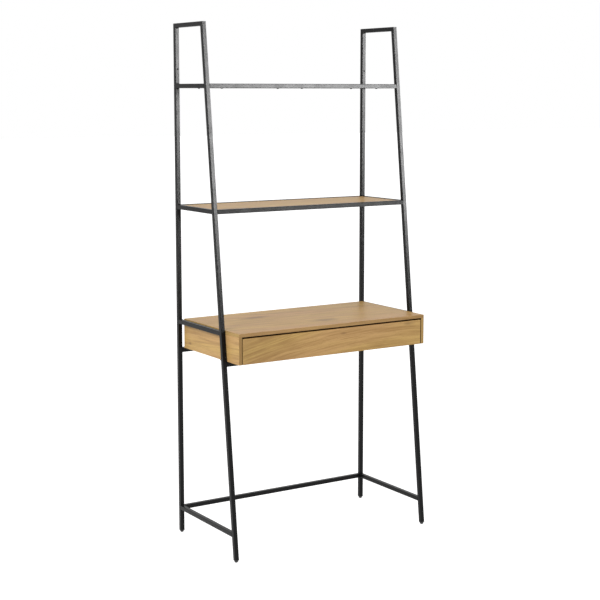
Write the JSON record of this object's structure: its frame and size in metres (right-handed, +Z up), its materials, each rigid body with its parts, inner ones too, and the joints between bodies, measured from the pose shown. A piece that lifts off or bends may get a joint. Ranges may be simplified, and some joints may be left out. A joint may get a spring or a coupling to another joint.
{
  "type": "ladder desk",
  "caption": "Ladder desk: black square-tube side frames that lean back, two inset wood shelves and a desk box with a full-width drawer on ball-bearing runners.",
  "frame": {"origin": "on the floor, half way across the width and half way from the face of the desk box to the rear of the frame", "axes": "+X to the right seen from the front, -Y to the front where the drawer opens, +Z up"},
  "size_m": [0.8, 0.41, 1.805],
  "materials": {
    "black_powder_coat": "satin black powder coat on steel tube",
    "oak_board": "satin oak foil on particle board, with the grain along each piece",
    "drawer_board": "plain light foil on particle board",
    "hardboard": "smooth hardboard",
    "beech": "fluted beech dowels",
    "zinc_steel": "zinc plated",
    "black_screws": "blackened steel",
    "black_plastic": "matt moulded plastic"
  },
  "bodies": {
    "frame": {"desk_back_panel": "oak_board", "desk_box_screws": "black_screws", "desk_box_tabs": "black_powder_coat", "desk_cam_bolts": "zinc_steel", "desk_cam_nuts": "zinc_steel", "desk_dowels": "beech", "desk_front_bearer": "black_powder_coat", "desk_left_side": "oak_board", "desk_rear_bearer": "black_powder_coat", "desk_right_side": "oak_board", "desk_top": "oak_board", "front_glides": "black_plastic", "left_desk_side_rail": "black_powder_coat", "left_front_upright": "black_powder_coat", "left_lower_side_rail": "black_powder_coat", "left_middle_side_rail": "black_powder_coat", "left_rear_upright": "black_powder_coat", "left_runner_cabinet_member": "zinc_steel", "left_top_rail": "black_powder_coat", "left_upper_side_rail": "black_powder_coat", "middle_shelf_front_rail": "black_powder_coat", "middle_shelf_panel": "oak_board", "middle_shelf_rear_rail": "black_powder_coat", "rail_spigots": "black_powder_coat", "rear_glides": "black_plastic", "rear_stretcher": "black_powder_coat", "right_desk_side_rail": "black_powder_coat", "right_front_upright": "black_powder_coat", "right_lower_side_rail": "black_powder_coat", "right_middle_side_rail": "black_powder_coat", "right_rear_upright": "black_powder_coat", "right_runner_cabinet_member": "zinc_steel", "right_top_rail": "black_powder_coat", "right_upper_side_rail": "black_powder_coat", "runner_cabinet_screws": "zinc_steel", "shelf_screws": "black_screws", "shelf_tabs": "black_powder_coat", "spigot_grub_screws": "black_screws", "upper_shelf_front_rail": "black_powder_coat", "upper_shelf_panel": "oak_board", "upper_shelf_rear_rail": "black_powder_coat"},
    "drawer": {"drawer_back": "drawer_board", "drawer_back_screws": "zinc_steel", "drawer_bottom": "hardboard", "drawer_cam_bolts": "zinc_steel", "drawer_cam_nuts": "zinc_steel", "drawer_dowels": "beech", "drawer_front": "oak_board", "drawer_left_side": "drawer_board", "drawer_right_side": "drawer_board", "left_runner_drawer_member": "zinc_steel", "right_runner_drawer_member": "zinc_steel", "runner_drawer_screws": "zinc_steel"},
    "left_runner_middle": {"left_runner_middle_member": "zinc_steel"},
    "left_outer_balls": {"left_runner_outer_ball_cage": "zinc_steel"},
    "left_inner_balls": {"left_runner_inner_ball_cage": "zinc_steel"},
    "right_runner_middle": {"right_runner_middle_member": "zinc_steel"},
    "right_outer_balls": {"right_runner_outer_ball_cage": "zinc_steel"},
    "right_inner_balls": {"right_runner_inner_ball_cage": "zinc_steel"}
  },
  "joints": [
    {"name": "drawer_slide", "type": "slide", "parent": "frame", "child": "drawer", "axis": [0, -1, 0], "range_m": [0, 0.33]},
    {"name": "left_runner_middle_slide", "type": "slide", "parent": "frame", "child": "left_runner_middle", "axis": [0, -1, 0], "range_m": [0, 0.165]},
    {"name": "left_outer_balls_slide", "type": "slide", "parent": "frame", "child": "left_outer_balls", "axis": [0, -1, 0], "range_m": [0, 0.0825]},
    {"name": "left_inner_balls_slide", "type": "slide", "parent": "frame", "child": "left_inner_balls", "axis": [0, -1, 0], "range_m": [0, 0.2475]},
    {"name": "right_runner_middle_slide", "type": "slide", "parent": "frame", "child": "right_runner_middle", "axis": [0, -1, 0], "range_m": [0, 0.165]},
    {"name": "right_outer_balls_slide", "type": "slide", "parent": "frame", "child": "right_outer_balls", "axis": [0, -1, 0], "range_m": [0, 0.0825]},
    {"name": "right_inner_balls_slide", "type": "slide", "parent": "frame", "child": "right_inner_balls", "axis": [0, -1, 0], "range_m": [0, 0.2475]}
  ],
  "couplings": [
    {"joint": "left_runner_middle_slide", "follows": "drawer_slide", "ratio": 0.5},
    {"joint": "left_outer_balls_slide", "follows": "drawer_slide", "ratio": 0.25},
    {"joint": "left_inner_balls_slide", "follows": "drawer_slide", "ratio": 0.75},
    {"joint": "right_runner_middle_slide", "follows": "drawer_slide", "ratio": 0.5},
    {"joint": "right_outer_balls_slide", "follows": "drawer_slide", "ratio": 0.25},
    {"joint": "right_inner_balls_slide", "follows": "drawer_slide", "ratio": 0.75}
  ]
}
